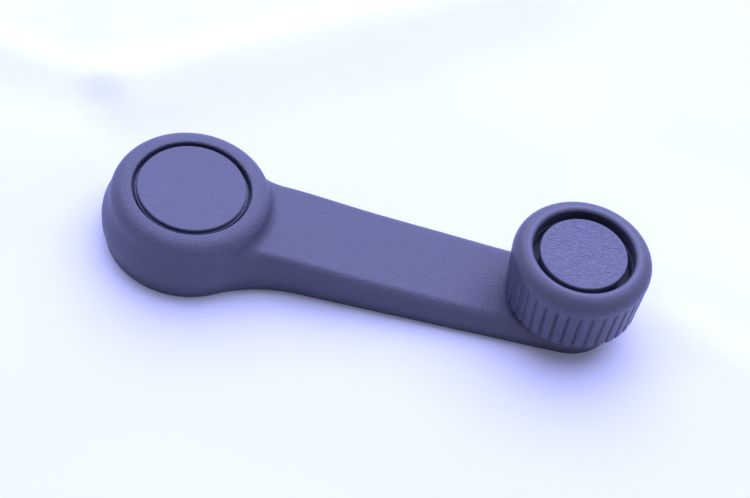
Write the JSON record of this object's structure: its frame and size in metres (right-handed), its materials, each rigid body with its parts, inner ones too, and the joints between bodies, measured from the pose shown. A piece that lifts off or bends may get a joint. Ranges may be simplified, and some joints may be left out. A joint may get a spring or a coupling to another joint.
{
  "type": "window crank handle",
  "caption": "Two part moulded window crank over a steel strip, with a splined boss under a round hub cap and a ribbed knob that turns on a spindle.",
  "frame": {"origin": "on the axis of the spindle socket, in the plane of the crank's foot, which faces the door", "axes": "+X runs along the arm from the hub to the knob, +Z points away from the door, +Y follows by the right-hand rule"},
  "size_m": [0.1487, 0.0468, 0.0279],
  "materials": {
    "grained_plastic": "satin moulded plastic with a fine grain",
    "smooth_plastic": "smooth satin moulded plastic",
    "cap_plastic": "satin plastic with a very fine grain",
    "leather_grain_plastic": "satin plastic with a leather grain",
    "bearing_plastic": "natural nylon",
    "zinc_steel": "zinc plated",
    "bare_steel": "plain turned and pressed steel"
  },
  "bodies": {
    "crank": {"upper_cover": "grained_plastic", "lower_cover": "grained_plastic", "cover_screws": "zinc_steel", "steel_arm": "zinc_steel", "spline_boss": "bare_steel", "retaining_screw": "zinc_steel", "spring_washer": "zinc_steel", "plain_washer": "zinc_steel", "hub_cap": "cap_plastic", "knob_spindle": "bare_steel", "rivet_washer": "zinc_steel", "lower_thrust_washer": "bearing_plastic", "dished_washer": "bare_steel", "upper_thrust_washer": "bare_steel", "retaining_clip": "bare_steel"},
    "knob": {"knob_shell": "smooth_plastic", "knob_bush": "bearing_plastic", "knob_cap": "leather_grain_plastic"}
  },
  "joints": [
    {"name": "knob_spin", "type": "hinge", "parent": "crank", "child": "knob", "pos_m": [0.1061, 0, 0.0183], "axis": [0, 0, 1], "continuous": true}
  ]
}
